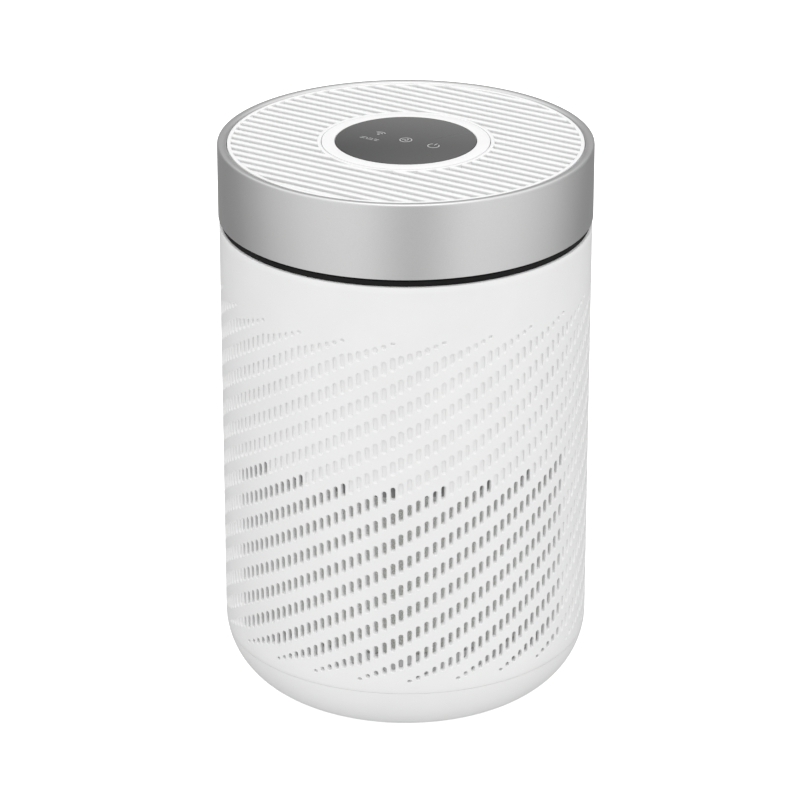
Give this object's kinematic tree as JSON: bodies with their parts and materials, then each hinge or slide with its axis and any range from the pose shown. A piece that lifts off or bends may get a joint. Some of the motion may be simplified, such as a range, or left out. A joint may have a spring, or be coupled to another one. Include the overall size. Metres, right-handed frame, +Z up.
{
  "type": "air purifier",
  "caption": "Cylindrical 360-degree air purifier with slotted white side, silver top ring, slatted outlet and round touch panel; lift-off housing, pleated filter, spinning fan.",
  "frame": {"origin": "on the floor under the centre of the feet", "axes": "+Z up, -Y towards the side that the touch panel reads from, +X to that reader's right"},
  "size_m": [0.22, 0.22, 0.344],
  "materials": {
    "shell_white": "fine satin moulded ABS",
    "trim_white": "satin moulded ABS",
    "ring_silver": "satin silver metallic",
    "gasket_black": "satin black",
    "panel_glass": "polished dark smoked panel",
    "inner_grey": "moulded grey",
    "foot_rubber": "soft matt rubber",
    "filter_paper": "pleated fibre media",
    "filter_carbon": "granular carbon core",
    "filter_net": "open woven pre-filter net",
    "filter_ribbon": "woven pull ribbon",
    "board_green": "printed circuit board",
    "steel": "turned steel",
    "coil_copper": "enamelled copper winding"
  },
  "bodies": {
    "base": {"base_cover": "shell_white", "foot_1": "foot_rubber", "foot_2": "foot_rubber", "foot_3": "foot_rubber", "foot_4": "foot_rubber"},
    "filter": {"filter_bottom_cap": "inner_grey", "filter_top_cap": "inner_grey", "filter_media": "filter_paper", "carbon_core": "filter_carbon", "prefilter_net": "filter_net", "filter_seal": "gasket_black", "filter_pull_tab": "filter_ribbon"},
    "housing": {"outer_shell": "shell_white", "lock_collar": "inner_grey", "fan_deck": "trim_white", "inlet_guard": "inner_grey", "fan_duct": "trim_white", "deck_screw_1": "steel", "deck_screw_2": "steel", "deck_screw_3": "steel", "deck_screw_4": "steel", "motor_can": "steel", "stator_core": "coil_copper", "lower_bearing": "steel", "upper_bearing": "steel", "vane_frame": "trim_white", "motor_screw_1": "steel", "motor_screw_2": "steel", "motor_screw_3": "steel", "chassis_ring": "trim_white", "groove_gasket": "gasket_black", "silver_ring": "ring_silver", "top_grille": "trim_white", "outlet_guard": "trim_white", "panel_bezel": "trim_white", "touch_glass": "panel_glass", "panel_pod": "trim_white", "touch_board": "board_green", "power_inlet": "gasket_black", "main_board": "board_green"},
    "rotor": {"impeller": "inner_grey", "motor_shaft": "steel", "rotor_magnet": "gasket_black", "impeller_nut": "steel"}
  },
  "joints": [
    {"name": "housing_twist", "type": "hinge", "parent": "base", "child": "filter", "pos_m": [0, 0, 0.045], "axis": [0, 0, 1], "range_deg": [0, 18]},
    {"name": "housing_lift", "type": "slide", "parent": "filter", "child": "housing", "axis": [0, 0, 1], "range_m": [0, 0.15]},
    {"name": "fan_spin", "type": "hinge", "parent": "housing", "child": "rotor", "pos_m": [0, 0, 0.21], "axis": [0, 0, 1], "continuous": true}
  ]
}
